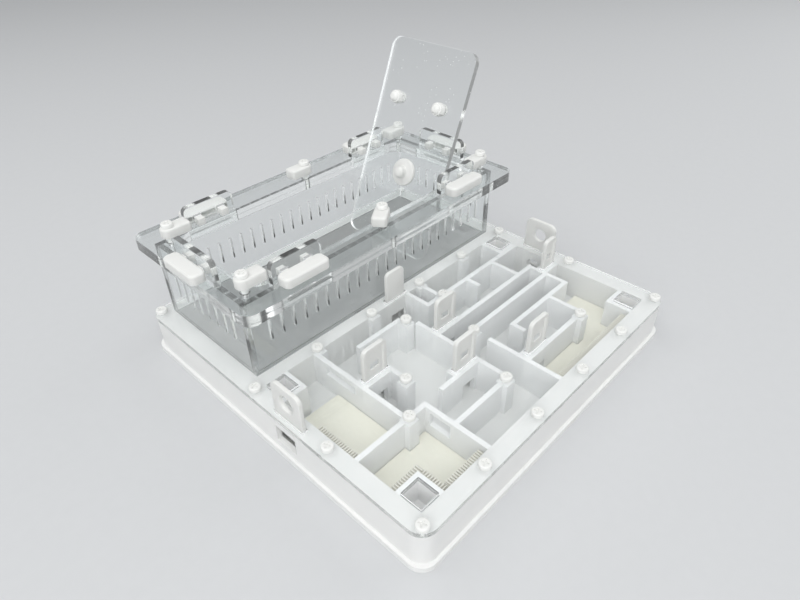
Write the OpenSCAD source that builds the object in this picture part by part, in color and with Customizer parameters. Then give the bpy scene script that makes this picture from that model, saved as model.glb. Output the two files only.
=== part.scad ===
// Ant habitat: a square nest base with screwed clear cover, sliding chamber gates,
// and a clear foraging box whose rim frames are locked on by bars through wall tongues.
// Plan positions (x, y) are measured from the front left corner of the base.

/* [Base] */
// Width and depth of the square base
base_w = 200; // [190:1:230]
// Height of the base up to the underside of the cover
base_h = 21; // [19:0.5:26]
// Corner radius of the base and cover
corner_r = 8; // [4:1:10]
// Thickness of the chamber floor
floor_t = 2.5; // [2:0.5:4]
// Width of the rim around the nest chambers
rim_w = 9.3; // [8.5:0.1:12]
// Thickness of the chamber walls
wall_t = 2.6; // [2:0.1:3]
// Depth of the nest half, up to the divider under the box
nest_d = 109.5; // [107:0.5:113]
// Height of the wider foot band around the base
foot_h = 3; // [2:0.5:5]
// How far the foot band stands out
foot_out = 1.5; // [0.5:0.1:2]

/* [Cover] */
// Thickness of the clear cover plate
cover_t = 2.5; // [2:0.5:4]
// Head diameter of the cover screws
head_d = 6; // [5:0.1:6.5]
// Head height of the cover screws
head_h = 2.2; // [1.6:0.1:3]
// Shank diameter of the cover screws
shank_d = 3; // [2.5:0.1:3.2]
// Distance from the base edge to the centres of the rim screws
screw_inset = 4.5; // [4:0.1:5]

/* [Gates] */
// Width of a chamber gate
gate_w = 15; // [13:0.5:16]
// Height of a chamber gate
gate_h = 25.5; // [22:0.5:27]
// Thickness of gates and port plates
gate_t = 2.2; // [1.8:0.1:2.4]
// Height of a raised gate above the base top
gate_up = 20.3; // [15:0.1:22]
// Width of a port plate
port_w = 20; // [18:0.5:22]
// Height of a port plate
port_h = 25; // [23:0.5:25]

/* [Box] */
// Distance from the sides of the base to the box
box_side = 10; // [9:0.5:12]
// Distance from the back edge of the base to the box
box_back_gap = 8; // [7:0.5:10]
// Height of the box walls
box_h = 39; // [30:1:50]
// Thickness of the box walls and the rim frames
sheet_t = 3; // [2.5:0.1:3.2]
// Distance from the nest to the front wall of the box
box_gap = 6.5; // [5.5:0.5:8.5]
// Height of the tongues above the walls
tongue_h = 17; // [15:1:20]
// Width of the front and back tongues
tongue_w = 29; // [26:1:30]
// Distance from the middle of the box to the centre of a long side tongue
tongue_x = 58; // [57:0.5:60]
// Number of ventilation slits in a long wall
slit_n = 23; // [9:2:23]
// Distance between the slits
slit_pitch = 7.06; // [6:0.02:7.06]
// Height of a slit
slit_h = 12.5; // [8:0.5:16]

/* [Rim] */
// How far the rim frames stand out past the ends of the box
frame_end = 6; // [5:0.5:8]
// How far the rim frames stand out past the front and back of the box
frame_out = 12; // [11:0.5:13]
// Distance from the ends of the box to the opening in the rim frames
open_end = 9; // [8:0.5:10]
// Distance from the front and back of the box to the opening in the rim frames
open_in = 6; // [5.5:0.1:6.2]
// Corner radius of the opening
open_r = 10; // [6:0.5:12]
// Corner radius of the rim frames
frame_r = 6; // [3:0.5:8]
// Length of the turn buttons beyond their screw
button_reach = 11; // [9:0.5:12]
// Width of a turn button
button_w = 8; // [7:0.5:8.5]
// Height of a turn button
button_h = 5.2; // [4:0.1:7]

/* [Lid] */
// Length of the lid plate
lid_l = 119; // [110:1:130]
// Distance from the edge of the opening to the sides of the lid plate
lid_gap = 1; // [0.5:0.5:3]
// Lean of the lid plate from the floor of the box, in degrees
lean = 67; // [65:1:70]

/* [Hidden] */
$fn = 48;
e = 0.5;
slide_gap = 0.35;
guide_t = 1.6;
half_t = wall_t / 2;
top_z = base_h + cover_t;
// far edges of the nest cavity
in_x = base_w - rim_w;
// walls that run front to back, by the x of their middle
col_a = 40.5;
col_b = 52.5;
col_c = 58.5;
col_d = 93.2;
col_e = 108.6;
col_f = 119.5;
col_g = 126.5;
// these four keep their distance from the right rim
col_h = in_x - 48.7;
col_i = in_x - 30.7;
col_j = in_x - 24.7;
col_k = in_x - 13.2;
// walls that run left to right, by the y of their middle
row_a = 28.4;
row_b = 46;
row_h = 46.7;
row_c = 49.7;
row_d = 62.6;
row_i = 64;
row_e = 73.7;
// these two keep their distance from the divider
row_f = nest_d - 15.7;
row_g = nest_d - 12.9;
// wells in the four corners of the nest
well_w = 11;
well_d = 11.7;
well_t = 1.6;
well_z = 8;
// gates slide behind their wall
gate_back_y = half_t + gate_t / 2 + slide_gap;
gate_travel = base_h + gate_up - gate_h - floor_t - 0.3;
gate_z = base_h + gate_up - gate_h;
port_x = 4;
port_y = nest_d - 26.5;
port_far_y = nest_d - 29.5;
port_z = base_h + 21.5 - port_h;
port_hole_z = 12.5;
port_hole_d = 8.4;
// gate places, by x of the middle and y of the wall in front of the gate
gate_spots = [[50.2, row_e], [102, row_e], [84.6, row_h], [119.4, row_a]];
far_gate = [in_x - 6.1, row_i];
far_w = gate_w - 4;
forage_gate = [base_w / 2 + 0.8, nest_d + 2.5];
// interior posts under cover screws
post_w = 6.4;
posts = [[40.7, row_b - 1.1], [56.9, row_d - 0.5], [89.2, row_f - 1.4], [119.6, row_f - 1.4],
  [106.9, row_d + half_t - post_w / 2], [89.7, row_a - 0.6], [col_i - 3.8, row_a - 1]];
screw_step = (base_w - 2 * screw_inset) / 5;
// box and rim, all tied to the base
box_y = nest_d + box_gap;
box_l = base_w - 2 * box_side;
box_d = base_w - box_y - box_back_gap;
frame_l = box_l + 2 * frame_end;
frame_d = box_d + 2 * frame_out;
open_l = box_l - 2 * open_end;
open_d = box_d - 2 * open_in;
box_x0 = box_side;
box_mid = box_y + box_d / 2;
wall_top = top_z + box_h;
// air between sheets that lie on each other
sheet_gap = 0.05;
frame_top = wall_top + 2 * (sheet_t + sheet_gap);
tongue_side_w = 33;
frame_y0 = box_mid - frame_d / 2;
bar_h = 5;
bar_d = 8.4;
bar_l = 26;
prong_w = 4;
bar_gap = 0.3;
prong_gap = 14;
// prongs end this far inside the tongue
prong_out = 3.3;
button_gap = sheet_t + 0.3;
// screws of the turn buttons round the opening, from the middle of the box, left to right
corner_x = open_l / 2 + 3.5;
corner_y = open_d / 2 + 1;
front_spots = [[-corner_x, -corner_y], [0, -open_d / 2 - 3.4], [corner_x, -corner_y]];
back_spots = [[-corner_x, open_d / 2 - 2], [6, open_d / 2 + 2.7], [corner_x, corner_y]];
bush_d = 5;
// hole in the floor of the box, hidden behind its gate
passage = [111, box_y + 8];
passage_d = 9;
passage_h = 9.5;
// lid
lid_t = 3;
lid_w = open_d - 2 * lid_gap;
lid_bolt_x = 86;
lid_bolt_y = 16;
lid_hole_d = 11;
lid_hole = [46, lid_w / 2 - 3];
floor_sheet_t = 0.8;
lid_foot_x = 133.5;

// moves the plan from the corner to the middle of the base
module centred() {
  translate([-base_w / 2, -base_w / 2, 0]) children();
}

module rounded(l, d, r) {
  translate([r, 0]) square([l - 2 * r, d]);
  translate([0, r]) square([l, d - 2 * r]);
  for (x = [r, l - r]) {
    for (y = [r, d - r]) {
      translate([x, y]) circle(r);
    }
  }
}

module block(x0, x1, y0, y1, z0, z1) {
  translate([x0, y0, z0]) cube([x1 - x0, y1 - y0, z1 - z0]);
}

// a chamber wall along x at row y, and one along y at column x
module wall_x(x0, x1, y) {
  block(x0, x1, y - half_t, y + half_t, floor_t, base_h);
}

module wall_y(x, y0, y1) {
  block(x - half_t, x + half_t, y0, y1, floor_t, base_h);
}

module at_rim_screws() {
  far = base_w - screw_inset;
  for (i = [0 : 5]) {
    for (y = [screw_inset, nest_d + 0.4]) {
      translate([screw_inset + i * screw_step, y]) children();
    }
  }
  for (x = [screw_inset, far]) {
    for (y = [58.6, far]) {
      translate([x, y]) children();
    }
  }
}

module at_posts() {
  for (p = posts) {
    translate(p) children();
  }
}

module at_wells() {
  for (x = [rim_w, in_x - well_w]) {
    for (y = [rim_w, nest_d - well_d - 1]) {
      translate([x, y]) children();
    }
  }
}

// walls that run left to right, all from the floor to the cover
module rows_of_walls() {
  wall_x(rim_w, posts[0][0], row_b);
  wall_x(posts[0][0], col_b + half_t, row_b);
  wall_x(col_a - half_t, col_c + half_t, row_e);
  wall_x(58, posts[2][0], row_g);
  wall_x(col_d - half_t, col_k + half_t, row_e);
  wall_x(col_d - half_t, col_k + half_t, row_d);
  wall_x(col_g - half_t, col_k + half_t, row_c);
  wall_x(64.5, col_d + half_t - 0.7, row_h);
  wall_x(col_b - half_t, col_d + half_t - 0.7, row_a);
  wall_x(col_e - half_t, col_i + half_t, row_a);
  wall_x(col_e - half_t, col_j + 6, row_f);
  wall_x(col_k - 5, in_x, row_f);
  wall_x(col_k + half_t, in_x, row_i);
}

module columns_of_walls() {
  wall_y(col_a, row_b, nest_d);
  wall_y(col_b, rim_w, row_b);
  wall_y(col_c, posts[1][1], row_e);
  wall_y(col_d, row_d, row_f - 5.8);
  wall_y(col_k, row_c, row_e);
  wall_y(col_g, 42, row_c);
  wall_y(col_e, rim_w, 52);
  wall_y(col_d - 0.7, row_a, row_h);
  wall_y(col_i, row_a, row_c);
  wall_y(col_e, row_f, nest_d);
  wall_y(col_f, row_f, nest_d - 1.5);
  wall_y(col_h, row_f - 9.8, row_f);
  wall_y(col_j, row_e, row_f);
}

// square posts under the inner screws and half posts at the divider
module post_blocks() {
  at_posts() translate([-post_w / 2, -post_w / 2, floor_t])
    cube([post_w, post_w, base_h - floor_t]);
  for (i = [1 : 4]) {
    x = screw_inset + i * screw_step;
    block(x - post_w / 2, x + post_w / 2, nest_d - post_w / 2, nest_d, floor_t, base_h);
  }
}

module post_holes() {
  at_rim_screws() translate([0, 0, base_h - 8]) cylinder(d = shank_d + 0.2, h = 9);
  at_posts() translate([0, 0, base_h - 8]) cylinder(d = shank_d + 0.2, h = 9);
}

// the way through the wall and the guide of a gate
module gate_passage(spot) {
  translate([spot[0] - 4.5, spot[1] - 6, floor_t - 1]) cube([9, 16, 10.5]);
}

module gate_passages() {
  for (s = gate_spots) {
    gate_passage(s);
  }
  gate_passage(far_gate);
}

// outer block of a gate guide for a gate of width w, standing against the back of its wall
module guide_block(spot, w) {
  l = w + 2 * slide_gap + 3.2;
  translate([spot[0] - l / 2, spot[1] + half_t, floor_t])
    cube([l, gate_t + 2 * slide_gap + guide_t, base_h - floor_t]);
}

module guide_blocks() {
  for (s = gate_spots) {
    guide_block(s, gate_w);
  }
  intersection() {
    guide_block(far_gate, far_w);
    block(col_k + half_t, in_x, 0, nest_d, 0, base_h);
  }
}

module guide_slot(spot, w) {
  translate([spot[0] - w / 2 - slide_gap, spot[1] + half_t - e, floor_t - 1])
    cube([w + 2 * slide_gap, gate_t + 2 * slide_gap + e, base_h]);
}

module gate_slot(x, y, w, z, h) {
  translate([x - w / 2 - slide_gap, y - gate_t / 2 - slide_gap, z])
    cube([w + 2 * slide_gap, gate_t + 2 * slide_gap, h]);
}

// long windows in the walls of the two moist chambers
module wall_windows() {
  block(col_a - 3, col_a + 3, row_e + 5.3, nest_d - 9.5, 13.5, 18);
  block(col_b - 3, col_b + 3, 29.5, 42, 11, 18.8);
}

// channels the port plates slide in, open towards the chambers through a round hole
module port_slot(x, y) {
  d = gate_t + 2 * slide_gap;
  translate([x - d / 2, y - port_w / 2 - slide_gap, floor_t + 0.5])
    cube([d, port_w + 2 * slide_gap, base_h]);
}

// printed tray of the nest: floor, rim, deck under the box and the tube ports
module nest_base() color("white") centred() difference() {
  union() {
    linear_extrude(base_h) rounded(base_w, base_w, corner_r);
    translate([-foot_out, -foot_out, 0]) linear_extrude(foot_h)
      rounded(base_w + 2 * foot_out, base_w + 2 * foot_out, corner_r);
  }
  block(rim_w, in_x, rim_w, nest_d, floor_t, base_h + e);
  gate_slot(forage_gate[0], forage_gate[1], gate_w, floor_t, base_h);
  // way from the back corridor under the divider to the box
  block(forage_gate[0] - 5, forage_gate[0] + 5, nest_d - 3, passage[1], floor_t, floor_t + passage_h);
  block(forage_gate[0] - 5, passage[0] + 5, box_y, passage[1] + 5, floor_t, floor_t + passage_h);
  translate([passage[0], passage[1], floor_t]) cylinder(d = passage_d, h = base_h);
  port_slot(port_x, port_y);
  port_slot(base_w - port_x, port_far_y);
  block(-foot_out - 1, port_x, port_y - 7, port_y + 7, 7.8, 17.4);
  block(base_w - port_x, base_w + foot_out + 1, port_far_y - 7, port_far_y + 7, 7.8, 17.4);
  translate([port_x, port_y, port_hole_z]) rotate([0, 90, 0]) cylinder(d = port_hole_d, h = 8);
  translate([base_w - port_x - 8, port_far_y, port_hole_z]) rotate([0, 90, 0])
    cylinder(d = port_hole_d, h = 8);
  post_holes();
}

module cross_walls() color("white") centred() difference() {
  rows_of_walls();
  post_blocks();
  gate_passages();
}

module long_walls() color("white") centred() difference() {
  columns_of_walls();
  rows_of_walls();
  post_blocks();
  guide_blocks();
  wall_windows();
}

module screw_posts() color("white") centred() difference() {
  post_blocks();
  post_holes();
}

// guides behind the walls that keep the gates upright
module gate_guides() color("white") centred() difference() {
  guide_blocks();
  for (s = gate_spots) {
    guide_slot(s, gate_w);
  }
  guide_slot(far_gate, far_w);
  gate_passages();
  rows_of_walls();
  post_blocks();
}

// raised water wells in the corners, closed by the rim on two sides
module water_wells() color("white") centred() difference() {
  intersection() {
    at_wells() translate([-well_t - 1, -well_t - 1, floor_t])
      cube([well_w + 2 * well_t + 2, well_d + 2 * well_t + 2, base_h - floor_t]);
    block(rim_w, in_x, rim_w, nest_d, floor_t, base_h);
  }
  at_wells() translate([0, 0, well_z]) cube([well_w, well_d, base_h]);
  rows_of_walls();
}

// clear plate over the whole base with wells, gate slots and screw holes cut through
module cover_plate() color("aliceblue", 0.4) centred() difference() {
  translate([0, 0, base_h]) linear_extrude(cover_t) rounded(base_w, base_w, corner_r);
  at_wells() translate([0.3, 0.3, base_h - 1]) cube([well_w - 0.6, well_d - 0.6, cover_t + 2]);
  for (s = gate_spots) {
    gate_slot(s[0], s[1] + gate_back_y, gate_w, base_h - 1, cover_t + 2);
  }
  gate_slot(far_gate[0], far_gate[1] + gate_back_y, far_w, base_h - 1, cover_t + 2);
  gate_slot(forage_gate[0], forage_gate[1], gate_w, base_h - 1, cover_t + 2);
  for (p = [[port_x, port_y], [base_w - port_x, port_far_y]]) {
    translate([p[0] - gate_t / 2 - slide_gap, p[1] - port_w / 2 - slide_gap, base_h - 1])
      cube([gate_t + 2 * slide_gap, port_w + 2 * slide_gap, cover_t + 2]);
  }
  at_rim_screws() translate([0, 0, base_h - 1]) cylinder(d = shank_d + 0.4, h = cover_t + 2);
  at_posts() translate([0, 0, base_h - 1]) cylinder(d = shank_d + 0.4, h = cover_t + 2);
  translate([passage[0], passage[1], base_h - 1]) cylinder(d = passage_d, h = cover_t + 2);
}

// nylon pan head screw, standing on the plane z = 0
module pan_screw(shank) {
  difference() {
    union() {
      cylinder(d = head_d, h = head_h * 0.55);
      translate([0, 0, head_h * 0.55]) cylinder(d1 = head_d, d2 = head_d * 0.72, h = head_h * 0.45);
      translate([0, 0, -shank]) cylinder(d = shank_d, h = shank + 0.5);
    }
    for (a = [0, 90]) {
      rotate([0, 0, a + 20]) translate([-1.6, -0.35, head_h - 0.9]) cube([3.2, 0.7, 2]);
    }
  }
}

module cover_screws() color("ivory") centred() {
  at_rim_screws() translate([0, 0, top_z]) pan_screw(9);
  at_posts() translate([0, 0, top_z]) pan_screw(9);
}

// cream hydration pads on the chamber floors
pad_t = 2.5;

module post_recess(p) {
  translate([p[0] - post_w / 2 - 0.3, p[1] - post_w / 2 - 0.3, 0]) cube([post_w + 0.6, post_w + 0.6, base_h]);
}

module side_pad() color("cornsilk") centred() difference() {
  block(rim_w + 0.3, col_a - half_t - 0.3, row_b + half_t + 0.3, row_f - 1.8, floor_t, floor_t + pad_t);
  post_recess(posts[0]);
}

module front_pad() color("cornsilk") centred() difference() {
  block(rim_w + 0.3, col_b - half_t - 0.3, rim_w + 0.3, row_b - half_t - 0.3, floor_t, floor_t + pad_t);
  block(0, rim_w + well_w + well_t + 1.3, 0, rim_w + well_d + well_t + 1.3, 0, base_h);
  post_recess(posts[0]);
}

module right_pad() color("cornsilk") centred() difference() {
  union() {
    block(col_e + half_t + 0.3, in_x - 0.3, rim_w + 0.3, row_a - half_t - 0.3, floor_t, floor_t + pad_t);
    block(col_i + half_t + 0.3, in_x - 0.3, rim_w + 0.3, row_c - half_t - 0.3, floor_t, floor_t + pad_t);
  }
  block(in_x - well_w - well_t - 1.3, base_w, 0, rim_w + well_d + well_t + 1.3, 0, base_h);
  post_recess(posts[6]);
}

// ribbed comb strip of length l along x, on a thin backing
module comb(l) {
  difference() {
    cube([l, comb_w, comb_t]);
    for (x = [comb_rib : 2 * comb_rib : l - 1.6 * comb_rib]) {
      translate([x, comb_rib, comb_rib]) cube([comb_rib, comb_w - 2 * comb_rib, comb_t]);
    }
  }
}

comb_w = 4;
comb_t = 1.6;
comb_rib = 0.75;
side_comb_l = 26;
comb_z = base_h - 2.4 - comb_t;
well_out = rim_w + well_w + well_t + 1;
well_up = rim_w + well_d + well_t + 1;

module well_comb() color("wheat") centred() {
  translate([rim_w, well_up, comb_z]) comb(well_out - rim_w + comb_w);
  translate([well_out + comb_w, rim_w, comb_z]) rotate([0, 0, 90]) comb(well_up - rim_w);
}

module front_comb() color("wheat") centred()
  translate([well_out + comb_w + 0.4, rim_w, comb_z]) comb(col_b - half_t - well_out - comb_w - 0.6);

module side_comb() color("wheat") centred()
  translate([rim_w + comb_w, row_b + half_t + 0.2, comb_z]) rotate([0, 0, 90]) comb(side_comb_l);

module right_comb() color("wheat") centred()
  translate([col_e + half_t + 0.2, rim_w, comb_z]) comb(in_x - well_w - well_t - 1.4 - col_e - half_t);

// matt floor sheet of the foraging box
module forage_floor() color("gainsboro") centred() difference() {
  block(box_x0 + sheet_t + 0.3, base_w - box_x0 - sheet_t - 0.3, box_y + sheet_t + 0.3,
    box_y + box_d - sheet_t - 0.3, top_z, top_z + floor_sheet_t);
  translate([passage[0], passage[1], top_z - 1]) cylinder(d = passage_d, h = 3);
}

// sliding gate of width w; the window is left out where win is false
module gate(x, y, w, win) {
  translate([x - w / 2, y + gate_t / 2, gate_z]) rotate([90, 0, 0]) linear_extrude(gate_t)
    difference() {
      union() {
        square([w, gate_h - 3]);
        translate([3, 0]) square([w - 6, gate_h]);
        for (p = [3, w - 3]) {
          translate([p, gate_h - 3]) circle(3);
        }
      }
      if (win) translate([w / 2 - 3, gate_h - 14.2]) square([6, 4]);
    }
}

module gate_forage() color("whitesmoke") centred()
  gate(forage_gate[0], forage_gate[1], gate_w - 1.4, false);

module gate_left() color("whitesmoke") centred()
  gate(gate_spots[0][0], gate_spots[0][1] + gate_back_y, gate_w, true);

module gate_back() color("whitesmoke") centred()
  gate(gate_spots[1][0], gate_spots[1][1] + gate_back_y, gate_w, true);

module gate_centre() color("whitesmoke") centred()
  gate(gate_spots[2][0], gate_spots[2][1] + gate_back_y, gate_w, true);

module gate_right() color("whitesmoke") centred()
  gate(gate_spots[3][0], gate_spots[3][1] + gate_back_y, gate_w, true);

module gate_far() color("whitesmoke") centred()
  gate(far_gate[0], far_gate[1] + gate_back_y, far_w, true);

// tube port plate with a round hole
module port_plate(x, y) {
  translate([x - gate_t / 2, y - port_w / 2, port_z]) rotate([90, 0, 90]) linear_extrude(gate_t)
    difference() {
      union() {
        square([port_w, port_h - 4]);
        translate([4, 0]) square([port_w - 8, port_h]);
        for (p = [4, port_w - 4]) {
          translate([p, port_h - 4]) circle(4);
        }
      }
      translate([port_w / 2, port_h - 9.2]) circle(d = 8);
    }
}

module port_plate_left() color("whitesmoke") centred() port_plate(port_x, port_y);

module port_plate_right() color("whitesmoke") centred() port_plate(base_w - port_x, port_far_y);

// tongue outline with rounded top corners, middle of its foot at the origin
module tongue(w) {
  translate([-w / 2, -1]) square([w, tongue_h - 2]);
  translate([-w / 2 + 3, -1]) square([w - 6, tongue_h + 1]);
  for (p = [-1, 1]) {
    translate([p * (w / 2 - 3), tongue_h - 3]) circle(3);
  }
}

// outline of a box wall of length l with slits and tongues at the given places
module wall_face(l, n, spots, w) {
  difference() {
    union() {
      square([l, box_h]);
      for (t = spots) {
        translate([l / 2 + t, box_h]) tongue(w);
      }
    }
    for (i = [0 : n - 1]) {
      translate([l / 2 + (i - (n - 1) / 2) * slit_pitch - 0.5, 15.8]) square([1, slit_h]);
    }
    for (t = spots) {
      for (p = [-1, 1]) {
        translate([l / 2 + t + p * prong_gap / 2 - prong_w / 2 - 0.3, frame_top - top_z])
          square([prong_w + 0.6, prong_w + 0.6]);
      }
    }
  }
}

module long_wall(y) {
  translate([box_x0, y + sheet_t, top_z]) rotate([90, 0, 0]) linear_extrude(sheet_t)
    wall_face(box_l, slit_n, [-tongue_x, tongue_x], tongue_w);
}

module short_wall(x) {
  l = box_d - 2 * sheet_t - 0.1;
  translate([x, box_y + sheet_t + 0.05, top_z]) rotate([90, 0, 90]) linear_extrude(sheet_t)
    wall_face(l, 8, [0], tongue_side_w);
}

module box_front() color("aliceblue", 0.4) centred() long_wall(box_y);

module box_back() color("aliceblue", 0.4) centred() long_wall(box_y + box_d - sheet_t);

module box_left() color("aliceblue", 0.4) centred() short_wall(box_x0);

module box_right() color("aliceblue", 0.4) centred() short_wall(base_w - box_x0 - sheet_t);

// flat frame with the big opening and a slot for every tongue
module rim_frame(z) {
  c = 0.35;
  translate([0, 0, z]) linear_extrude(sheet_t) difference() {
    translate([(base_w - frame_l) / 2, frame_y0]) rounded(frame_l, frame_d, frame_r);
    translate([(base_w - open_l) / 2, box_mid - open_d / 2]) rounded(open_l, open_d, open_r);
    for (x = [-1, 1]) {
      for (y = [box_y, box_y + box_d - sheet_t]) {
        translate([base_w / 2 + x * tongue_x - tongue_w / 2 - c, y - c])
          square([tongue_w + 2 * c, sheet_t + 2 * c]);
      }
    }
    for (x = [box_x0, base_w - box_x0 - sheet_t]) {
      translate([x - c, box_mid - tongue_side_w / 2 - c])
        square([sheet_t + 2 * c, tongue_side_w + 2 * c]);
    }
    at_buttons() circle(d = shank_d + 0.2);
  }
}

module frame_lower() color("aliceblue", 0.4) centred() rim_frame(wall_top + sheet_gap);

module frame_upper() color("aliceblue", 0.4) centred() rim_frame(frame_top - sheet_t);

// lock bar: long axis along x, back face on the plane y = 0, prongs towards +y
module lock_bar() {
  hull() {
    translate([-bar_l / 2, -bar_d, 0]) linear_extrude(bar_h - 0.8) rounded(bar_l, bar_d, 2.8);
    translate([-bar_l / 2 + 0.8, -bar_d + 0.8, 0]) linear_extrude(bar_h)
      rounded(bar_l - 1.6, bar_d - 1.6, 2);
  }
  for (p = [-1, 1]) {
    translate([p * prong_gap / 2 - prong_w / 2, -1, 0.3])
      cube([prong_w, sheet_t + prong_out + 1 + bar_gap, prong_w - 0.3]);
  }
}

module bar_at(x, y, a) {
  translate([x, y, frame_top]) rotate([0, 0, a]) translate([0, -bar_gap, 0]) lock_bar();
}

module bar_front_left() color("whitesmoke") centred() bar_at(base_w / 2 - tongue_x, box_y, 0);

module bar_front_right() color("whitesmoke") centred() bar_at(base_w / 2 + tongue_x, box_y, 0);

module bar_back_left() color("whitesmoke") centred() bar_at(base_w / 2 - tongue_x, box_y + box_d, 180);

module bar_back_right() color("whitesmoke") centred() bar_at(base_w / 2 + tongue_x, box_y + box_d, 180);

module bar_left() color("whitesmoke") centred() bar_at(box_x0, box_mid, -90);

module bar_right() color("whitesmoke") centred() bar_at(base_w - box_x0, box_mid, 90);

function button_spot(i, j) = [base_w / 2, box_mid] + (j < 0 ? front_spots : back_spots)[i + 1];

module at_buttons() {
  for (i = [-1 : 1]) {
    for (j = [-1, 1]) {
      translate(button_spot(i, j)) children();
    }
  }
}

// turn button: pivot at the origin, arm towards +x
module turn_button() {
  r = button_w / 2;
  difference() {
    hull() {
      cylinder(r = r, h = button_h - 0.7);
      cylinder(r = r - 0.7, h = button_h);
      translate([0, -r + 1, 0]) cube([button_reach, button_w - 2, button_h - 0.7]);
      translate([0, -r, 0]) cube([button_reach - 1, button_w, button_h - 0.7]);
      translate([0, -r + 0.7, 0]) cube([button_reach - 0.9, button_w - 1.4, button_h]);
    }
    translate([0, 0, -1]) cylinder(d = shank_d + 0.1, h = button_h + 2);
  }
}

module button_at(i, j, a) {
  translate([0, 0, frame_top + button_gap]) translate(button_spot(i, j)) rotate([0, 0, a])
    turn_button();
}

module button_front_left() color("whitesmoke") centred() button_at(-1, -1, 0);

module button_front_mid() color("whitesmoke") centred() button_at(0, -1, 215);

module button_front_right() color("whitesmoke") centred() button_at(1, -1, 180);

module button_back_left() color("whitesmoke") centred() button_at(-1, 1, 0);

module button_back_mid() color("whitesmoke") centred() button_at(0, 1, 180);

module button_back_right() color("whitesmoke") centred() button_at(1, 1, 180);

// bushes that hold the buttons one lid thickness above the frame
module button_bushes() color("aliceblue", 0.6) centred() at_buttons() translate([0, 0, frame_top])
  difference() {
    cylinder(d = bush_d, h = button_gap - 0.05);
    translate([0, 0, -1]) cylinder(d = shank_d + 0.1, h = button_gap + 2);
  }

module button_screws() color("ivory") centred() at_buttons()
  translate([0, 0, frame_top + button_gap + button_h + 0.05]) pan_screw(button_gap + button_h + 6);

// the lid plate leans in the box; everything on it is drawn flat and then tipped
module leaning() {
  translate([lid_foot_x, box_mid - lid_w / 2, top_z + floor_sheet_t + 0.05 + lid_t * cos(lean)])
    rotate([0, -lean, 0]) translate([0, 0, -lid_t]) children();
}

module at_lid_bolts() {
  for (y = [-lid_bolt_y, lid_bolt_y]) {
    translate([lid_bolt_x, lid_w / 2 + y]) children();
  }
}

module lid_plate() color("aliceblue", 0.4) centred() leaning() linear_extrude(lid_t) difference() {
  rounded(lid_l, lid_w, 6);
  translate(lid_hole) circle(d = lid_hole_d);
  at_lid_bolts() circle(d = 4.2);
}

// cap nuts with a dome over the bolt end
module lid_nuts() color("ivory") centred() leaning() at_lid_bolts() translate([0, 0, lid_t])
  difference() {
    union() {
      intersection() {
        cylinder(d = 8, h = 4, $fn = 6);
        cylinder(d1 = 8.4, d2 = 7, h = 4);
      }
      translate([0, 0, 3.6]) cylinder(d1 = 6.2, d2 = 5.4, h = 1.4);
      translate([0, 0, 5]) cylinder(d1 = 5.4, d2 = 3.2, h = 1);
    }
    translate([0, 0, -1]) cylinder(d = 4.1, h = 5.2);
  }

module lid_bolts() color("ivory") centred() leaning() at_lid_bolts() {
  translate([0, 0, -2]) cylinder(d1 = 5.6, d2 = 7, h = 2);
  translate([0, 0, -1]) cylinder(d = 4, h = lid_t + 5);
}

// round plug with a grip knob, seated in the lid hole
module lid_plug() color("white") centred() leaning() translate(lid_hole)
  rotate_extrude() polygon([[0, -1], [4.9, -1], [5.2, -0.6], [5.2, lid_t + 0.05], [7.6, lid_t + 0.05],
    [8, lid_t + 0.5], [8, lid_t + 2], [7.5, lid_t + 2.5], [3.6, lid_t + 2.8], [3.2, lid_t + 4],
    [3.2, lid_t + 6.2], [2.4, lid_t + 7.2], [0, lid_t + 7.6]]);

nest_base();
cross_walls();
long_walls();
screw_posts();
gate_guides();
water_wells();
cover_plate();
cover_screws();
side_pad();
front_pad();
right_pad();
well_comb();
front_comb();
side_comb();
right_comb();
forage_floor();
gate_forage();
gate_left();
gate_back();
gate_centre();
gate_right();
gate_far();
port_plate_left();
port_plate_right();
box_front();
box_back();
box_left();
box_right();
frame_lower();
frame_upper();
bar_front_left();
bar_front_right();
bar_back_left();
bar_back_right();
bar_left();
bar_right();
button_front_left();
button_front_mid();
button_front_right();
button_back_left();
button_back_mid();
button_back_right();
button_bushes();
button_screws();
lid_plate();
lid_nuts();
lid_bolts();
lid_plug();
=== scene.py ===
import math
import bmesh
import bpy
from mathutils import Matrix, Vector


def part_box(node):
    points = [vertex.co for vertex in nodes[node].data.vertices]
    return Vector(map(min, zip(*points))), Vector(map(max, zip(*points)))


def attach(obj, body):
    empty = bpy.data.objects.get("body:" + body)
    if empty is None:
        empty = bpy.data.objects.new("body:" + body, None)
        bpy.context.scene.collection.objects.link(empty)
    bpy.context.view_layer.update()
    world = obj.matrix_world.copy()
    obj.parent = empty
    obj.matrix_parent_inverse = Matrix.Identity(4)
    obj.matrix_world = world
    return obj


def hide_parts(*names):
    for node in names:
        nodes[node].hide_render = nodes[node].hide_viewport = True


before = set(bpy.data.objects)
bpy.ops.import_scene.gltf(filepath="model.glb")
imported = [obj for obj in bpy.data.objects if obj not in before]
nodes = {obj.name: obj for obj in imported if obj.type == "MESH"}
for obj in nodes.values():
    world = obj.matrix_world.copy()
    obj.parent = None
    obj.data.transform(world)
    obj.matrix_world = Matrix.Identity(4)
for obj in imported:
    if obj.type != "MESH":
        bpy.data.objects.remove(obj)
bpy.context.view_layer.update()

print("frame loaded:", len(nodes), "nodes")

lean = math.radians(67)  # the loose plate leans this far from the floor
lidNormal = (-math.sin(lean), 0, math.cos(lean))

tiny = 1e-5  # places nearer than this are one place
weld = 1e-6  # doubled points nearer than this are merged
straight = 0.99  # directions with at least this cosine are one direction
overshoot = 0.001  # how far a cutting block runs past the face that it cuts
bendAngle = 35  # in degrees: edges that are sharper are softened
smoothAngle = 32  # in degrees: edges that are flatter are shaded smooth


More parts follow.
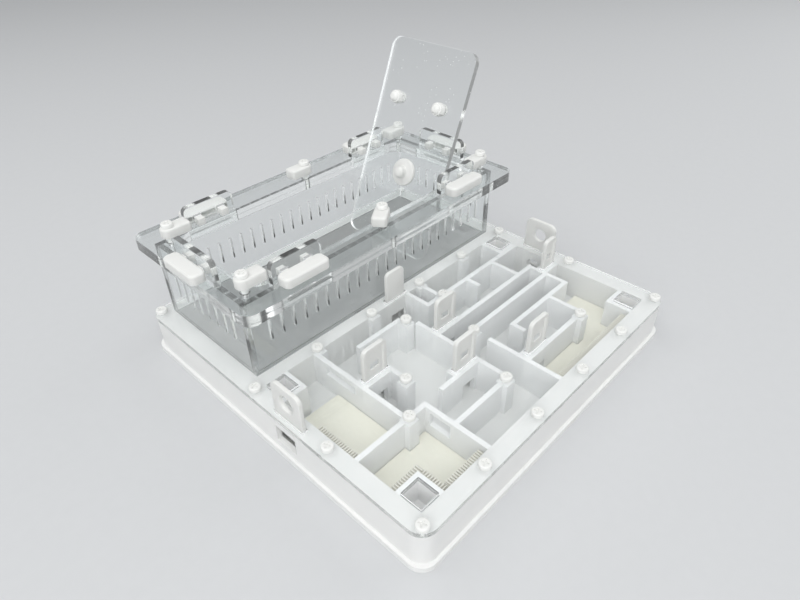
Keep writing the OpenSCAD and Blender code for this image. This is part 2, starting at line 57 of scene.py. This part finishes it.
def joinSocket(tree, value, socket):
    if hasattr(value, "is_output"):
        tree.links.new(value, socket)
    else:
        socket.default_value = value


def makeGroup(name, inputs, outputs):
    tree = bpy.data.node_groups.new(name, "ShaderNodeTree")
    kinds = {"f": "NodeSocketFloat", "c": "NodeSocketColor", "v": "NodeSocketVector"}
    for label, kind, value in inputs:
        socket = tree.interface.new_socket(label, in_out="INPUT", socket_type=kinds[kind])
        socket.default_value = value
    for label, kind in outputs:
        tree.interface.new_socket(label, in_out="OUTPUT", socket_type=kinds[kind])
    return tree, tree.nodes.new("NodeGroupInput"), tree.nodes.new("NodeGroupOutput")


def addMath(tree, kind, first, second=None, clamp=False):
    node = tree.nodes.new("ShaderNodeMath")
    node.operation = kind
    node.use_clamp = clamp
    joinSocket(tree, first, node.inputs[0])
    if second is not None:
        joinSocket(tree, second, node.inputs[1])
    return node.outputs[0]


def times(tree, first, second):
    return addMath(tree, "MULTIPLY", first, second)


def plus(tree, first, second, clamp=False):
    return addMath(tree, "ADD", first, second, clamp)


def addMix(tree, factor, first, second):
    node = tree.nodes.new("ShaderNodeMix")
    node.data_type = "RGBA"
    joinSocket(tree, factor, node.inputs[0])
    joinSocket(tree, first, node.inputs[6])  # sockets 6 and 7 are the colour pair
    joinSocket(tree, second, node.inputs[7])
    return node.outputs[2]


def addNoise(tree, vector, scale, detail):
    node = tree.nodes.new("ShaderNodeTexNoise")
    joinSocket(tree, scale, node.inputs["Scale"])
    node.inputs["Detail"].default_value = detail
    tree.links.new(vector, node.inputs["Vector"])
    return node.outputs["Fac"]


# layer lines on upright faces, nozzle tracks on level faces, a faint mottle, and painted shade in the
# grooves of the lines and tracks
printLook = {"levelAbove": 0.7, "trackPart": 0.5, "blotchScale": 45, "blotchFrom": 0.42, "blotchGain": 4.0,
             "grooveShadeFrom": 0.5, "grooveShadeGain": 0.10, "fineScale": 900, "fineHeight": 0.5,
             "rough": 0.46, "roughSpan": 0.22, "glowReach": (0.002, 0.002, 0.002)}


def makePrintGroup(look):
    tree, start, end = makeGroup("printedPlastic", [
        ("Color", "c", (0.9, 0.9, 0.9, 1)), ("Shade", "c", (0.8, 0.8, 0.8, 1)),
        ("Layer", "f", 0.0003), ("Track", "f", 0.00045), ("Mottle", "f", 0.3)],
        [("Color", "c"), ("Roughness", "f"), ("Height", "f")])
    place = tree.nodes.new("ShaderNodeTexCoord")
    coords = place.outputs["Object"]
    split = tree.nodes.new("ShaderNodeSeparateXYZ")
    tree.links.new(coords, split.inputs[0])
    normal = tree.nodes.new("ShaderNodeSeparateXYZ")
    tree.links.new(place.outputs["Normal"], normal.inputs[0])
    steepness = addMath(tree, "ABSOLUTE", normal.outputs[2])
    level = addMath(tree, "GREATER_THAN", steepness, look["levelAbove"])
    upright = addMath(tree, "SUBTRACT", 1.0, level)
    turns = addMath(tree, "DIVIDE", split.outputs[2], start.outputs["Layer"])
    layers = addMath(tree, "SINE", times(tree, turns, 2 * math.pi))
    diagonal = plus(tree, split.outputs[0], split.outputs[1])
    passes = addMath(tree, "DIVIDE", diagonal, start.outputs["Track"])
    tracks = addMath(tree, "SINE", times(tree, passes, 2 * math.pi))
    tracks = times(tree, tracks, times(tree, level, look["trackPart"]))
    height = plus(tree, times(tree, layers, upright), tracks)
    broad = addNoise(tree, coords, look["blotchScale"], detail=4)
    fine = addNoise(tree, coords, look["fineScale"], detail=2)
    patches = addMath(tree, "SUBTRACT", broad, look["blotchFrom"], True)
    blotch = times(tree, times(tree, patches, start.outputs["Mottle"]), look["blotchGain"])
    # painted shade: the grooves between layer lines and nozzle tracks are coloured darker
    hollows = addMath(tree, "SUBTRACT", look["grooveShadeFrom"], height)
    grooveShade = times(tree, hollows, look["grooveShadeGain"])
    factor = plus(tree, blotch, grooveShade, True)
    color = addMix(tree, factor, start.outputs["Color"], start.outputs["Shade"])
    tree.links.new(color, end.inputs["Color"])
    rough = plus(tree, look["rough"], times(tree, fine, look["roughSpan"]))
    tree.links.new(rough, end.inputs["Roughness"])
    tree.links.new(plus(tree, height, times(tree, fine, look["fineHeight"])), end.inputs["Height"])
    return tree


# clear sheet: cut edges are told from faces by the sheet's own normal, glow with painted light and show a
# soft saw grain, and dust grains carry a painted glint
sheetLook = {"edgeBelow": 0.6, "grainScale": 420, "grainSize": 0.10, "dustScale": 90, "dustAbove": 0.56,
             "sawScale": 260, "faceRough": 0.02, "edgeRough": 0.08, "sawRough": 0.12, "dustRough": 0.5,
             "paintedDustGlint": 0.35, "light": (0.92, 0.95, 0.95, 1), "bump": 0.000008, "index": 1.49,
             "passing": (0.985, 0.99, 0.99, 1)}


def makeSheetGroup(look):
    tree, start, end = makeGroup("clearSheet", [
        ("Normal", "v", (0, 0, 1)), ("Face", "c", (0.97, 0.985, 0.985, 1)),
        ("Edge", "c", (0.95, 0.965, 0.96, 1)), ("Edge Light", "f", 0.06), ("Specks", "f", 0.5)],
        [("Color", "c"), ("Roughness", "f"), ("Height", "f"), ("Light", "c")])
    place = tree.nodes.new("ShaderNodeTexCoord")
    coords = place.outputs["Object"]
    dot = tree.nodes.new("ShaderNodeVectorMath")
    dot.operation = "DOT_PRODUCT"
    tree.links.new(place.outputs["Normal"], dot.inputs[0])
    tree.links.new(start.outputs["Normal"], dot.inputs[1])
    facing = addMath(tree, "ABSOLUTE", dot.outputs["Value"])
    edge = addMath(tree, "LESS_THAN", facing, look["edgeBelow"])
    grains = tree.nodes.new("ShaderNodeTexVoronoi")
    grains.inputs["Scale"].default_value = look["grainScale"]
    tree.links.new(coords, grains.inputs["Vector"])
    dots = addMath(tree, "LESS_THAN", grains.outputs["Distance"], look["grainSize"])
    drifts = addNoise(tree, coords, look["dustScale"], detail=3)
    dusty = addMath(tree, "GREATER_THAN", drifts, look["dustAbove"])
    dust = times(tree, times(tree, dots, dusty), start.outputs["Specks"])
    saw = addNoise(tree, coords, look["sawScale"], detail=2)
    color = addMix(tree, edge, start.outputs["Face"], start.outputs["Edge"])
    tree.links.new(color, end.inputs["Color"])
    sawn = times(tree, edge, plus(tree, look["edgeRough"], times(tree, saw, look["sawRough"])))
    rough = plus(tree, look["faceRough"], sawn)
    rough = plus(tree, rough, times(tree, dust, look["dustRough"]), True)
    tree.links.new(rough, end.inputs["Roughness"])
    tree.links.new(times(tree, edge, saw), end.inputs["Height"])
    # painted light: the cut edges and the dust grains glow through the emission colour
    paintedEdgeGlow = times(tree, edge, start.outputs["Edge Light"])
    lit = plus(tree, paintedEdgeGlow, times(tree, dust, look["paintedDustGlint"]))
    tree.links.new(addMix(tree, lit, (0, 0, 0, 1), look["light"]), end.inputs["Light"])
    return tree


# plaster, nylon, combs and matt sheet: fine pores over broad clouds
grainLook = {"cloudPart": 14, "share": 0.5, "roughSpan": 0.2}


def makeGrainGroup(look):
    tree, start, end = makeGroup("grainyFinish", [
        ("Color", "c", (0.9, 0.9, 0.9, 1)), ("Shade", "c", (0.8, 0.8, 0.8, 1)),
        ("Scale", "f", 300), ("Roughness", "f", 0.5)],
        [("Color", "c"), ("Roughness", "f"), ("Height", "f")])
    coords = tree.nodes.new("ShaderNodeTexCoord").outputs["Object"]
    pores = addNoise(tree, coords, start.outputs["Scale"], detail=6)
    broad = addMath(tree, "DIVIDE", start.outputs["Scale"], look["cloudPart"])
    cloud = addNoise(tree, coords, broad, detail=3)
    factor = plus(tree, times(tree, pores, look["share"]), times(tree, cloud, look["share"]), True)
    color = addMix(tree, factor, start.outputs["Color"], start.outputs["Shade"])
    tree.links.new(color, end.inputs["Color"])
    rough = plus(tree, start.outputs["Roughness"], times(tree, pores, look["roughSpan"]), True)
    tree.links.new(rough, end.inputs["Roughness"])
    tree.links.new(pores, end.inputs["Height"])
    return tree


printGroup = makePrintGroup(printLook)
sheetGroup = makeSheetGroup(sheetLook)
grainGroup = makeGrainGroup(grainLook)


def newMaterial(name):
    mat = bpy.data.materials.new(name)
    mat.use_nodes = True
    tree = mat.node_tree
    return mat, tree, tree.nodes["Principled BSDF"]


def addGroup(tree, group, values):
    node = tree.nodes.new("ShaderNodeGroup")
    node.node_tree = group
    for label, value in values.items():
        node.inputs[label].default_value = value
    return node


def addBump(tree, shader, height, distance):
    bump = tree.nodes.new("ShaderNodeBump")
    bump.inputs["Distance"].default_value = distance
    bump.inputs["Strength"].default_value = 1.0
    tree.links.new(height, bump.inputs["Height"])
    tree.links.new(bump.outputs["Normal"], shader.inputs["Normal"])


def makePrinted(name, color, shade, mottle, depth, glow):
    mat, tree, shader = newMaterial(name)
    group = addGroup(tree, printGroup, {"Color": (*color, 1), "Shade": (*shade, 1), "Mottle": mottle})
    tree.links.new(group.outputs["Color"], shader.inputs["Base Color"])
    tree.links.new(group.outputs["Roughness"], shader.inputs["Roughness"])
    addBump(tree, shader, group.outputs["Height"], depth)
    shader.inputs["Subsurface Weight"].default_value = glow
    shader.inputs["Subsurface Radius"].default_value = printLook["glowReach"]
    return mat


def makeGrainy(name, color, shade, scale, depth, rough):
    mat, tree, shader = newMaterial(name)
    group = addGroup(tree, grainGroup, {
        "Color": (*color, 1), "Shade": (*shade, 1), "Scale": scale, "Roughness": rough})
    tree.links.new(group.outputs["Color"], shader.inputs["Base Color"])
    tree.links.new(group.outputs["Roughness"], shader.inputs["Roughness"])
    addBump(tree, shader, group.outputs["Height"], depth)
    return mat


def makeClear(name, normal, specks, edgeLight):
    mat, tree, shader = newMaterial(name)
    group = addGroup(tree, sheetGroup, {"Normal": normal, "Specks": specks, "Edge Light": edgeLight})
    tree.links.new(group.outputs["Color"], shader.inputs["Base Color"])
    tree.links.new(group.outputs["Roughness"], shader.inputs["Roughness"])
    # the group's Light is painted light, a glow on cut edges and a glint on dust grains, sent out as
    # emission
    tree.links.new(group.outputs["Light"], shader.inputs["Emission Color"])
    shader.inputs["Emission Strength"].default_value = 1.0
    addBump(tree, shader, group.outputs["Height"], sheetLook["bump"])
    shader.inputs["Transmission Weight"].default_value = 1.0
    shader.inputs["IOR"].default_value = sheetLook["index"]
    # lamps and bounced light pass straight through, as they do through thin sheet
    passing = tree.nodes.new("ShaderNodeBsdfTransparent")
    passing.inputs["Color"].default_value = sheetLook["passing"]
    path = tree.nodes.new("ShaderNodeLightPath")
    either = tree.nodes.new("ShaderNodeMath")
    either.operation = "MAXIMUM"
    tree.links.new(path.outputs["Is Shadow Ray"], either.inputs[0])
    tree.links.new(path.outputs["Is Diffuse Ray"], either.inputs[1])
    mix = tree.nodes.new("ShaderNodeMixShader")
    tree.links.new(either.outputs[0], mix.inputs[0])
    tree.links.new(shader.outputs[0], mix.inputs[1])
    tree.links.new(passing.outputs[0], mix.inputs[2])
    tree.links.new(mix.outputs[0], tree.nodes["Material Output"].inputs["Surface"])
    return mat


prints = {
    "basePrint": dict(color=(0.91, 0.912, 0.90), shade=(0.83, 0.84, 0.835),
                      mottle=0.3, depth=0.00005, glow=0.08),
    "partPrint": dict(color=(0.82, 0.825, 0.805), shade=(0.74, 0.745, 0.72),
                      mottle=0.25, depth=0.00004, glow=0.12),
    # the chamber walls get a lighter copy of the base print: painted light that lifts the shade under the
    # cover
    "wallPrint": dict(color=(0.965, 0.97, 0.97), shade=(0.91, 0.92, 0.925),
                      mottle=0.25, depth=0.00004, glow=0.05),
}
grains = {
    "nylonWhite": dict(color=(0.85, 0.855, 0.835), shade=(0.77, 0.775, 0.755),
                       scale=300, depth=0.00001, rough=0.32),
    "creamPlaster": dict(color=(0.97, 0.96, 0.87), shade=(0.89, 0.87, 0.76),
                         scale=420, depth=0.00025, rough=0.75),
    "combStrip": dict(color=(0.90, 0.885, 0.82), shade=(0.78, 0.76, 0.69),
                      scale=600, depth=0.00003, rough=0.6),
    # the comb backing is coloured darker as painted shade in the gaps between the ribs
    "combGround": dict(color=(0.60, 0.59, 0.54), shade=(0.50, 0.49, 0.45),
                       scale=600, depth=0.00003, rough=0.8),
    "greySheet": dict(color=(0.36, 0.37, 0.37), shade=(0.30, 0.31, 0.31),
                      scale=240, depth=0.00003, rough=0.4),
}
# edgeLight sets how strongly each sheet's cut edges glow with painted light
clears = {
    "levelSheet": dict(normal=(0, 0, 1), specks=0.3, edgeLight=0.06),
    "frontSheet": dict(normal=(0, 1, 0), specks=0.5, edgeLight=0.06),
    "sideSheet": dict(normal=(1, 0, 0), specks=0.5, edgeLight=0.06),
    "leaningSheet": dict(normal=lidNormal, specks=1.0, edgeLight=0.3),
}
finishes = {}
for table, make in ((prints, makePrinted), (grains, makeGrainy), (clears, makeClear)):
    for name, values in table.items():
        finishes[name] = make(name, **values)
print("materials made:", len(finishes))

dress = {
    "basePrint": ["nest_base"],
    "wallPrint": ["cross_walls", "long_walls", "screw_posts", "gate_guides", "water_wells"],
    "creamPlaster": ["side_pad", "front_pad", "right_pad"],
    "greySheet": ["forage_floor"],
    "levelSheet": ["cover_plate", "frame_lower", "frame_upper", "button_bushes"],
    "frontSheet": ["box_front", "box_back"],
    "sideSheet": ["box_left", "box_right"],
    "leaningSheet": ["lid_plate"],
}
for finish, names in dress.items():
    for name in names:
        nodes[name].data.materials.clear()
        nodes[name].data.materials.append(finishes[finish])


def choose(*pieces):
    bpy.ops.object.select_all(action="DESELECT")
    for piece in pieces:
        piece.select_set(True)
    bpy.context.view_layer.objects.active = pieces[0]


def settle():
    bpy.ops.object.transform_apply(location=True, rotation=True, scale=True)


def startEdit(piece):
    choose(piece)
    bpy.ops.object.mode_set(mode="EDIT")


def pick(piece, kind, test):
    modes = {"faces": "FACE", "edges": "EDGE"}
    bpy.ops.mesh.select_mode(type=modes[kind])
    bpy.ops.mesh.select_all(action="DESELECT")
    mesh = bmesh.from_edit_mesh(piece.data)
    for part in getattr(mesh, kind):
        if test(part):
            part.select_set(True)
    bmesh.update_edit_mesh(piece.data)


def endEdit():
    bpy.ops.object.mode_set(mode="OBJECT")


def middle(edge):
    return (edge.verts[0].co + edge.verts[1].co) / 2


def along(edge, axis):
    line = (edge.verts[1].co - edge.verts[0].co).normalized()
    return abs(line[axis]) > straight


def addBlock(name, low, high):
    size = [b - a for a, b in zip(low, high)]
    spot = [(a + b) / 2 for a, b in zip(low, high)]
    bpy.ops.mesh.primitive_cube_add(size=1, location=spot, scale=size)
    piece = bpy.context.object
    piece.name = name
    settle()
    return piece


def applyAll(piece):
    choose(piece)
    for mod in list(piece.modifiers):
        bpy.ops.object.modifier_apply(modifier=mod.name)


def cutWith(piece, cutter):
    cut = piece.modifiers.new("cut", "BOOLEAN")
    cut.operation = "DIFFERENCE"
    cut.solver = "EXACT"
    cut.object = cutter
    applyAll(piece)
    bpy.data.objects.remove(cutter)


def soften(piece, width, segments, angle=bendAngle):
    bevel = piece.modifiers.new("soften", "BEVEL")
    bevel.width = width
    bevel.segments = segments
    bevel.limit_method = "ANGLE"
    bevel.angle_limit = math.radians(angle)
    applyAll(piece)
    bpy.ops.object.shade_smooth_by_angle(angle=math.radians(smoothAngle))


def seat(piece, body, finish, slot, *stoodFor):
    if finish is not None:  # the combs have their two finishes already
        piece.data.materials.clear()
        piece.data.materials.append(finishes[finish])
    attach(piece, body)
    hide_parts(*stoodFor)


def copyOf(piece, name, move):
    twin = piece.copy()
    twin.data = piece.data.copy()
    twin.name = name
    bpy.context.collection.objects.link(twin)
    twin.location = move
    choose(twin)
    settle()
    return twin


def joinAll(pieces, name):
    choose(*pieces)
    bpy.ops.object.join()
    pieces[0].name = name
    return pieces[0]


# sliding gates: a rounded rim round a sunk panel, with a small window
gate = {"corner": 0.003, "rim": 0.0019, "slope": 0.0006, "sunk": 0.0008, "edge": 0.00045,
        "windowWidth": 0.0058, "windowHeight": 0.0038, "windowTop": 0.0104, "windowShare": 0.4}


def cutWindow(piece, low, high):
    mid = (low.x + high.x) / 2
    half = min(gate["windowWidth"], (high.x - low.x) * gate["windowShare"]) / 2
    top = high.z - gate["windowTop"]
    cutLow = (mid - half, low.y - overshoot, top - gate["windowHeight"])
    cutHigh = (mid + half, high.y + overshoot, top)
    cutWith(piece, addBlock("windowCut", cutLow, cutHigh))


def makeGate(name, windowed):
    low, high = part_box(name)
    piece = addBlock(name.replace("gate_", "slidingGate_"), low, high)
    startEdit(piece)
    pick(piece, "edges", lambda e: along(e, 1) and middle(e).z > high.z - tiny)
    bpy.ops.mesh.bevel(offset=gate["corner"], segments=6, affect="EDGES")
    if windowed:
        pick(piece, "faces", lambda f: abs(f.normal.y) > straight)
        bpy.ops.mesh.inset(thickness=gate["rim"], use_individual=True)
        bpy.ops.mesh.inset(thickness=gate["slope"], depth=-gate["sunk"], use_individual=True)
    endEdit()
    if windowed:
        cutWindow(piece, low, high)
    soften(piece, gate["edge"], 3)
    seat(piece, name, "partPrint", "white_print", name)


for name in ("gate_left", "gate_back", "gate_centre", "gate_right", "gate_far"):
    makeGate(name, True)
makeGate("gate_forage", False)
print("sliding gates made")

# tube port plates: round-cornered, with a soft-edged hole
portPlate = {"corner": 0.004, "holeTop": 0.0092, "leftHole": 0.0048, "rightHole": 0.004,
             "drill": 0.02, "edge": 0.0005}


def makePortPlate(name, newName, holeRadius):
    low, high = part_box(name)
    piece = addBlock(newName, low, high)
    startEdit(piece)
    pick(piece, "edges", lambda e: along(e, 0) and middle(e).z > high.z - tiny)
    bpy.ops.mesh.bevel(offset=portPlate["corner"], segments=8, affect="EDGES")
    endEdit()
    spot = ((low.x + high.x) / 2, (low.y + high.y) / 2, high.z - portPlate["holeTop"])
    bpy.ops.mesh.primitive_cylinder_add(vertices=48, radius=holeRadius, depth=portPlate["drill"],
                                        location=spot, rotation=(0, math.pi / 2, 0))
    cutWith(piece, bpy.context.object)
    soften(piece, portPlate["edge"], 3)
    seat(piece, name, "partPrint", "white_print", name)


makePortPlate("port_plate_left", "tubePlateLeft", portPlate["leftHole"])
makePortPlate("port_plate_right", "tubePlateRight", portPlate["rightHole"])
print("tube plates made")

# nylon screws: flat round head with a shallow cross, over a plain shank
screw = {"headRadius": 0.003, "headHeight": 0.0022, "headEdge": 0.0007, "shankRadius": 0.00148,
         "slotLength": 0.0036, "slotWidth": 0.0007, "slotDepth": 0.0006, "slotTurn": 0.35,
         "edge": 0.00012, "edgeAngle": 50}


def makeScrew(shank):
    headTop = screw["headHeight"]
    bpy.ops.mesh.primitive_cylinder_add(vertices=40, radius=screw["headRadius"], depth=headTop,
                                        location=(0, 0, headTop / 2))
    piece = bpy.context.object
    settle()
    startEdit(piece)
    pick(piece, "edges", lambda e: all(v.co.z > headTop - tiny for v in e.verts))
    bpy.ops.mesh.bevel(offset=screw["headEdge"], segments=4, affect="EDGES")
    pick(piece, "faces", lambda f: f.normal.z < -straight)
    bpy.ops.mesh.inset(thickness=screw["headRadius"] - screw["shankRadius"])
    bpy.ops.mesh.extrude_region_move(TRANSFORM_OT_translate={"value": (0, 0, -shank)})
    endEdit()
    long, wide = screw["slotLength"] / 2, screw["slotWidth"] / 2
    for turn in (screw["slotTurn"], screw["slotTurn"] + math.pi / 2):
        bar = addBlock("slotCut", (-long, -wide, headTop - screw["slotDepth"]),
                       (long, wide, headTop + overshoot))
        bar.rotation_euler = (0, 0, turn)
        settle()
        cutWith(piece, bar)
    soften(piece, screw["edge"], 1, screw["edgeAngle"])
    return piece


def solidMiddles(name):
    # each solid of a CAD node: its middle in x and y, its bottom and its top
    mesh = bmesh.new()
    mesh.from_mesh(nodes[name].data)
    bmesh.ops.remove_doubles(mesh, verts=mesh.verts, dist=weld)
    left = set(mesh.verts)
    spots = []
    while left:
        stack = [left.pop()]
        found = []
        while stack:
            vert = stack.pop()
            found.append(vert.co.copy())
            for edge in vert.link_edges:
                other = edge.other_vert(vert)
                if other in left:
                    left.remove(other)
                    stack.append(other)
        low = [min(p[i] for p in found) for i in range(3)]
        high = [max(p[i] for p in found) for i in range(3)]
        spots.append(((low[0] + high[0]) / 2, (low[1] + high[1]) / 2, low[2], high[2]))
    mesh.free()
    return sorted(spots)


def placeScrews(node, newName):
    spots = solidMiddles(node)
    bottom, top = spots[0][2:]  # the screws of a node are alike and stand at one level
    first = makeScrew(top - bottom - screw["headHeight"])
    level = top - screw["headHeight"]
    copies = [copyOf(first, "screwCopy", (*spot[:2], level)) for spot in spots]
    bpy.data.objects.remove(first)
    seat(joinAll(copies, newName), "habitat", "nylonWhite", "nylon", node)


placeScrews("cover_screws", "coverScrews")
placeScrews("button_screws", "buttonScrews")
print("screws made")

# comb strips: fine cross ribs standing on a thin backing, which is coloured darker as painted shade
# between the ribs
comb = {"width": 0.004, "pitch": 0.0014, "rib": 0.00065, "backing": 0.0004, "sunk": 0.0001,
        "bevelShare": 0.3}


def makeCombStrip(low, high):
    size = high - low
    axis = 0 if size.x > size.y else 1
    across = 1 - axis
    backing = addBlock("combBacking", low, (high.x, high.y, low.z + comb["backing"]))
    backing.data.materials.append(finishes["combGround"])
    count = int(size[axis] / comb["pitch"])
    ribLow = Vector(low)
    ribHigh = Vector(high)
    ribLow.z = low.z + comb["backing"] - comb["sunk"]
    ribLow[axis] = low[axis] + (size[axis] - (count - 1) * comb["pitch"] - comb["rib"]) / 2
    ribHigh[axis] = ribLow[axis] + comb["rib"]
    rib = addBlock("combRib", ribLow, ribHigh)
    startEdit(rib)
    pick(rib, "edges", lambda e: along(e, across) and middle(e).z > ribHigh.z - tiny)
    bpy.ops.mesh.bevel(offset=comb["rib"] * comb["bevelShare"], segments=1, affect="EDGES")
    pick(rib, "faces", lambda f: f.normal.z < -straight)
    bpy.ops.mesh.delete(type="ONLY_FACE")
    endEdit()
    row = rib.modifiers.new("row", "ARRAY")
    row.use_relative_offset = False
    row.use_constant_offset = True
    step = [0, 0, 0]
    step[axis] = comb["pitch"]
    row.constant_offset_displace = step
    row.count = count
    applyAll(rib)
    rib.data.materials.append(finishes["combStrip"])
    return [backing, rib]


def makeComb(node, newName, corner=None):
    low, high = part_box(node)
    if corner is None:
        strips = makeCombStrip(low, high)
    else:  # an L of two strips
        x, y = corner
        strips = makeCombStrip(Vector((low.x, y, low.z)), high)
        strips += makeCombStrip(Vector((x, low.y, low.z)), Vector((high.x, y, high.z)))
    seat(joinAll(strips, newName), "habitat", None, "comb_mesh", node)


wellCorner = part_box("well_comb")[1]
makeComb("well_comb", "wellComb", (wellCorner.x - comb["width"], wellCorner.y - comb["width"]))
makeComb("front_comb", "frontComb")
makeComb("side_comb", "sideComb")
makeComb("right_comb", "rightComb")
print("combs made")

# lock bars, turn buttons and the lid's fittings: copies of the CAD solids, merged and softened,
# with angles in degrees
softEdge = {"bar": 0.0004, "button": 0.0004, "fitting": 0.00025, "segments": 2, "angle": 30,
            "flatWithin": 3}
# a lock bar's back is hollow beside and between its prongs
hollow = {"bodyDepth": 0.0084, "depth": 0.0028, "margin": 0.0014, "height": 0.0012,
          "prongFar": 0.0094, "prongNear": 0.0046, "clear": 0.0002}


def hollowBar(piece, name):
    low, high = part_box(name)
    across = 1 if high.x - low.x > high.y - low.y else 0
    length = 1 - across
    frameLow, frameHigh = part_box("frame_upper")
    away = 1 if low[across] + high[across] > frameLow[across] + frameHigh[across] else -1
    back = (high if away > 0 else low)[across] - away * hollow["bodyDepth"]
    mid = (low[length] + high[length]) / 2
    half = (high[length] - low[length]) / 2 - hollow["margin"]
    far, near = hollow["prongFar"], hollow["prongNear"]
    deep, out = back + away * hollow["depth"], back - away * hollow["clear"]
    for start, end in ((-half, -far), (-near, near), (far, half)):
        cutLow, cutHigh = Vector(low), Vector(high)
        cutLow[length], cutHigh[length] = mid + start, mid + end
        cutLow[across], cutHigh[across] = sorted((deep, out))
        cutLow.z += hollow["height"]
        cutHigh.z -= hollow["height"]
        cutWith(piece, addBlock("backCut", cutLow, cutHigh))


def makeSoftCopy(name, newName, body, finish, slot, width, shape=None):
    piece = bpy.data.objects.new(newName, nodes[name].data.copy())
    bpy.context.collection.objects.link(piece)
    startEdit(piece)
    bpy.ops.mesh.select_all(action="SELECT")
    bpy.ops.mesh.remove_doubles(threshold=weld)
    bpy.ops.mesh.dissolve_limited(angle_limit=math.radians(softEdge["flatWithin"]))
    endEdit()
    if shape:
        shape(piece, name)
    soften(piece, width, softEdge["segments"], softEdge["angle"])
    seat(piece, body, finish, slot, name)


for name in nodes:
    if name.startswith("bar_"):
        newName = name.replace("bar_", "lockBar_")
        makeSoftCopy(name, newName, name, "partPrint", "white_print", softEdge["bar"], hollowBar)
    elif name.startswith("button_") and name not in ("button_bushes", "button_screws"):
        newName = name.replace("button_", "turnButton_")
        makeSoftCopy(name, newName, name, "partPrint", "white_print", softEdge["button"])
makeSoftCopy("lid_plug", "lidPlug", "lid_plug", "partPrint", "white_print", softEdge["fitting"])
makeSoftCopy("lid_nuts", "lidNuts", "lid", "nylonWhite", "nylon", softEdge["fitting"])
makeSoftCopy("lid_bolts", "lidBolts", "lid", "nylonWhite", "nylon", softEdge["fitting"])
print("bars, buttons and lid fittings made")

# a plain pale floor in soft studio light
studio = {"floorColor": (0.62, 0.63, 0.64), "floorSize": 8.0, "floorGrain": 180, "floorShade": 0.97,
          "floorRough": 0.9, "worldColor": (0.88, 0.89, 0.90), "worldStrength": 0.50,
          "aim": (0, 0, 0.02)}

bpy.ops.mesh.primitive_plane_add(size=studio["floorSize"], location=(0, 0, 0))
floor = bpy.context.object
floor.name = "floor"
floorMat, floorTree, floorShader = newMaterial("floorPaper")
floorPlace = floorTree.nodes.new("ShaderNodeTexCoord").outputs["Object"]
grain = addNoise(floorTree, floorPlace, studio["floorGrain"], detail=3)
pale = (*studio["floorColor"], 1)
shaded = (*(c * studio["floorShade"] for c in studio["floorColor"]), 1)
floorTree.links.new(addMix(floorTree, grain, shaded, pale), floorShader.inputs["Base Color"])
floorShader.inputs["Roughness"].default_value = studio["floorRough"]
floor.data.materials.append(floorMat)

world = bpy.data.worlds.new("studioWorld")
bpy.context.scene.world = world
world.use_nodes = True
sky = world.node_tree.nodes["Background"]
sky.inputs["Color"].default_value = (*studio["worldColor"], 1)
sky.inputs["Strength"].default_value = studio["worldStrength"]

lamps = {
    "keyLamp": dict(place=(-0.25, 0.55, 0.95), size=0.9, power=2.5),
    "topLamp": dict(place=(-0.1, -0.2, 1.1), size=1.1, power=2.2),
    "fillLamp": dict(place=(-0.9, -0.7, 0.75), size=1.5, power=13.0),
    "rightLamp": dict(place=(0.9, -0.35, 0.6), size=0.9, power=2.8),
}
for name, lamp in lamps.items():
    data = bpy.data.lights.new(name, "AREA")
    data.energy = lamp["power"]
    data.size = lamp["size"]
    holder = bpy.data.objects.new(name, data)
    holder.location = lamp["place"]
    aim = Vector(studio["aim"]) - holder.location
    holder.rotation_euler = aim.to_track_quat("-Z", "Y").to_euler()
    bpy.context.collection.objects.link(holder)

# the camera stands at the photo's viewing angle, and its turn is in degrees
lens = {"place": (-0.194684, -0.182523, 0.231779), "turn": (52.525, 0.843, -46.413),
        "length": 27.773, "sensor": 36, "nearest": 0.01}
cameraData = bpy.data.cameras.new("photoCamera")
cameraData.sensor_width = lens["sensor"]
cameraData.lens = lens["length"]
cameraData.clip_start = lens["nearest"]
camera = bpy.data.objects.new("photoCamera", cameraData)
camera.location = lens["place"]
camera.rotation_euler = tuple(math.radians(a) for a in lens["turn"])
bpy.context.collection.objects.link(camera)
bpy.context.scene.camera = camera
bpy.context.scene.view_settings.view_transform = "Standard"
print("floor, lamps and camera set")
